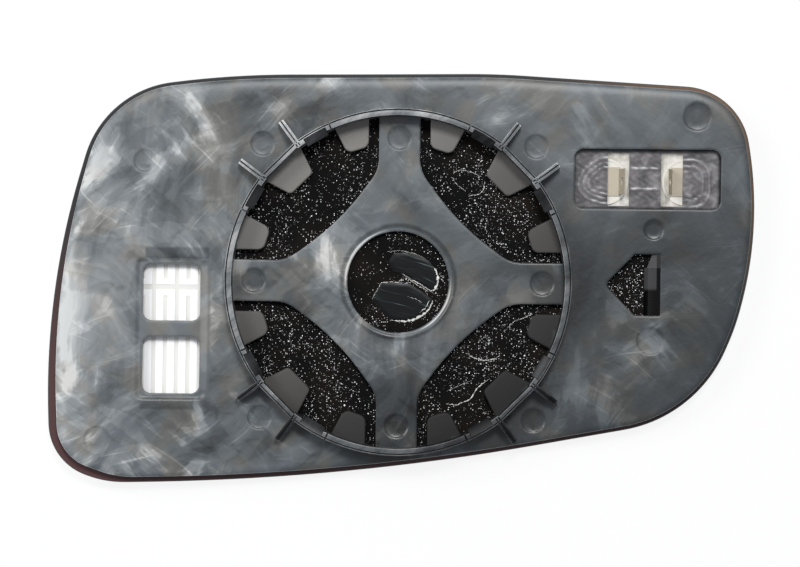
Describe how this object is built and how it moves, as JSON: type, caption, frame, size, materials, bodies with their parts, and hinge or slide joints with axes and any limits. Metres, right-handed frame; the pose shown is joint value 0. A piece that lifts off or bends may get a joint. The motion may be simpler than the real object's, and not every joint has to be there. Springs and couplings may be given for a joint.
{
  "type": "door mirror glass",
  "caption": "Heated convex door mirror glass on its moulded carrier plate, with a ring of snap hooks that clips onto the adjuster and blade terminals for the heater.",
  "frame": {"origin": "on the axis of the clip ring and the hub, at the mouth of the hub's hole", "axes": "+Z along the ring's axis, out of the back of the mirror towards its adjuster; +X along the glass's length, to the right as seen from the back; +Y up as seen from the back"},
  "size_m": [0.1761, 0.1033, 0.012],
  "materials": {
    "mirror_glass": "polished front, brown-black paint on the back",
    "heater_film": "milky polyester film",
    "heater_foil": "bright etched foil",
    "adhesive_pad": "black adhesive film with fine pale specks",
    "carrier_plastic": "moulded, satin, with greasy smears and light scratches",
    "cover_film": "smoky semi-clear embossed film",
    "tinned_foil": "bright",
    "tinned_brass": "dull tin plating"
  },
  "bodies": {
    "root": {"mirror_glass": "mirror_glass", "heater_film": "heater_film", "heater_foil": "heater_foil", "adhesive_pad": "adhesive_pad", "carrier_plate": "carrier_plastic", "cover_film": "cover_film", "contact_disc_left": "tinned_foil", "contact_disc_right": "tinned_foil", "terminal_left": "tinned_brass", "terminal_right": "tinned_brass"}
  },
  "joints": []
}
